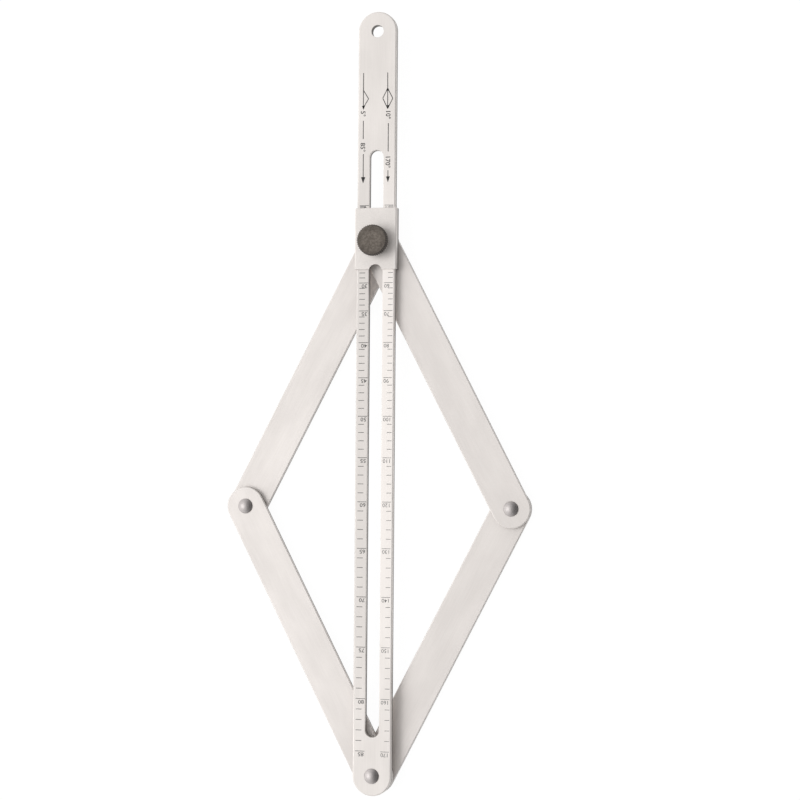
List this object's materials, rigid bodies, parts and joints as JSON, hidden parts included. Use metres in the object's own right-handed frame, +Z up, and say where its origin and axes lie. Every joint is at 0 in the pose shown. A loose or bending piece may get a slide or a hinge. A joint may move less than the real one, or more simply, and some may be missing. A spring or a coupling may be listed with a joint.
{
  "type": "multi-angle folding ruler",
  "caption": "Folding angle ruler: a rhombus of riveted flat arms on a slotted, graduated blade, with a sheet slider and a knurled clamp knob.",
  "frame": {"origin": "bottom centre of the bounding box as drawn: on the bench under the middle of the blade, the tool lying flat with its scale up", "axes": "+Y along the blade from the end rivet to the hanging hole, +X to the right seen from above, +Z up out of the scale"},
  "size_m": [0.1308, 0.3274, 0.0163],
  "materials": {
    "bar_steel": "satin, fine grain along each bar",
    "sheet_steel": "satin",
    "rivet_steel": "satin",
    "washer_steel": "plain",
    "knob": "dark, bead blasted, with a ridged rim"
  },
  "bodies": {
    "blade_body": {"blade": "bar_steel", "apex_rivet": "rivet_steel", "apex_spacer": "washer_steel", "apex_washer": "washer_steel"},
    "lower_left": {"lower_left_arm": "bar_steel", "left_joint_rivet": "rivet_steel", "left_joint_washer": "washer_steel"},
    "lower_right": {"lower_right_arm": "bar_steel", "right_joint_rivet": "rivet_steel", "right_joint_washer": "washer_steel"},
    "upper_left": {"upper_left_arm": "bar_steel"},
    "upper_right": {"upper_right_arm": "bar_steel"},
    "slider": {"slider_sleeve": "sheet_steel", "clamp_bolt": "rivet_steel", "top_pivot_washer": "washer_steel"},
    "washer": {"clamp_washer": "washer_steel"},
    "knob": {"clamp_knob": "knob"}
  },
  "joints": [
    {"name": "lower_left_turn", "type": "hinge", "parent": "blade_body", "child": "lower_left", "pos_m": [0, -0.1555, 0], "axis": [0, 0, 1], "range_deg": [-21.8, 58.2]},
    {"name": "lower_right_turn", "type": "hinge", "parent": "blade_body", "child": "lower_right", "pos_m": [0, -0.1555, 0], "axis": [0, 0, 1], "range_deg": [-58.21, 21.81]},
    {"name": "upper_left_turn", "type": "hinge", "parent": "lower_left", "child": "upper_left", "pos_m": [-0.05733, -0.04442, 0], "axis": [0, 0, 1], "range_deg": [-116.42, 43.62]},
    {"name": "upper_right_turn", "type": "hinge", "parent": "lower_right", "child": "upper_right", "pos_m": [0.05733, -0.04442, 0], "axis": [0, 0, 1], "range_deg": [-43.62, 116.42]},
    {"name": "slider_turn", "type": "hinge", "parent": "upper_left", "child": "slider", "pos_m": [0, 0.06665, 0], "axis": [0, 0, 1], "range_deg": [-21.81, 58.21]},
    {"name": "washer_lift", "type": "slide", "parent": "slider", "child": "washer", "axis": [0, 0, 1], "range_m": [0, 0.0008]},
    {"name": "knob_turn", "type": "hinge", "parent": "washer", "child": "knob", "pos_m": [0, 0.06665, 0], "axis": [0, 0, 1], "range_deg": [0, 360.05]}
  ],
  "couplings": [
    {"joint": "lower_right_turn", "follows": "lower_left_turn", "ratio": -1},
    {"joint": "upper_left_turn", "follows": "lower_left_turn", "ratio": -2},
    {"joint": "upper_right_turn", "follows": "lower_left_turn", "ratio": 2},
    {"joint": "slider_turn", "follows": "lower_left_turn", "ratio": 1},
    {"joint": "knob_turn", "follows": "washer_lift", "rad_per_m": 7854}
  ]
}
